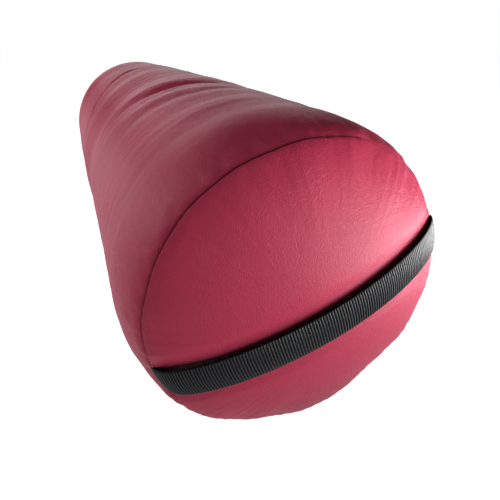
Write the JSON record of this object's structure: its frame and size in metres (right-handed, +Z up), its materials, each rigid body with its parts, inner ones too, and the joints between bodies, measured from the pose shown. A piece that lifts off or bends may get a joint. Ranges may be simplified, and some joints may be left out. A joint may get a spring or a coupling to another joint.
{
  "type": "bolster pillow",
  "caption": "Full-round massage bolster in a faux leather cover with a webbing carrying handle across one end and a zip along its lower side.",
  "frame": {"origin": "on the surface it lies on, under the middle of the bounding box, on the flat that its own weight presses into the underside", "axes": "+X along the bolster towards the end with the webbing handle, +Z up, +Y to the side with the zip"},
  "size_m": [0.6628, 0.208, 0.2028],
  "materials": {
    "leather": "satin",
    "webbing": "matte",
    "thread": "matte",
    "zip_tape": "matte",
    "zip_nylon": "satin",
    "zip_metal": "satin",
    "liner": "matte",
    "wadding": "matte",
    "foam": "matte"
  },
  "bodies": {
    "bolster": {"foam_core": "foam", "wadding_wrap": "wadding", "wadding_end_front": "wadding", "wadding_end_back": "wadding", "liner_sleeve": "liner", "liner_end_front": "liner", "liner_end_back": "liner", "cover_tube": "leather", "cover_end_front": "leather", "cover_end_back": "leather", "seam_thread_front": "thread", "seam_thread_back": "thread", "strap_tail_left": "webbing", "strap_tail_right": "webbing", "zip_tape_upper": "zip_tape", "zip_tape_lower": "zip_tape", "zip_coil_upper": "zip_nylon", "zip_coil_lower": "zip_nylon", "zip_top_stop_upper": "zip_metal", "zip_top_stop_lower": "zip_metal", "zip_bottom_stop": "zip_metal", "zip_stitch_upper": "thread", "zip_stitch_lower": "thread"},
    "handle": {"handle_strap": "webbing"},
    "slider": {"zip_slider": "zip_metal"},
    "pull": {"zip_pull": "zip_metal"}
  },
  "joints": [
    {"name": "handle_swing", "type": "hinge", "parent": "bolster", "child": "handle", "pos_m": [0.3027, 0, 0.0988], "axis": [0, 0.9466, 0.3223], "range_deg": [-10, 10], "stiffness_Nm_per_rad": 0.3},
    {"name": "zip_slide", "type": "slide", "parent": "bolster", "child": "slider", "axis": [1, 0, 0], "range_m": [-0.422, 0]},
    {"name": "zip_pull_turn", "type": "hinge", "parent": "slider", "child": "pull", "pos_m": [0.2087, 0.08781, 0.03731], "axis": [0, -0.5736, -0.8192], "range_deg": [0, 170]}
  ]
}
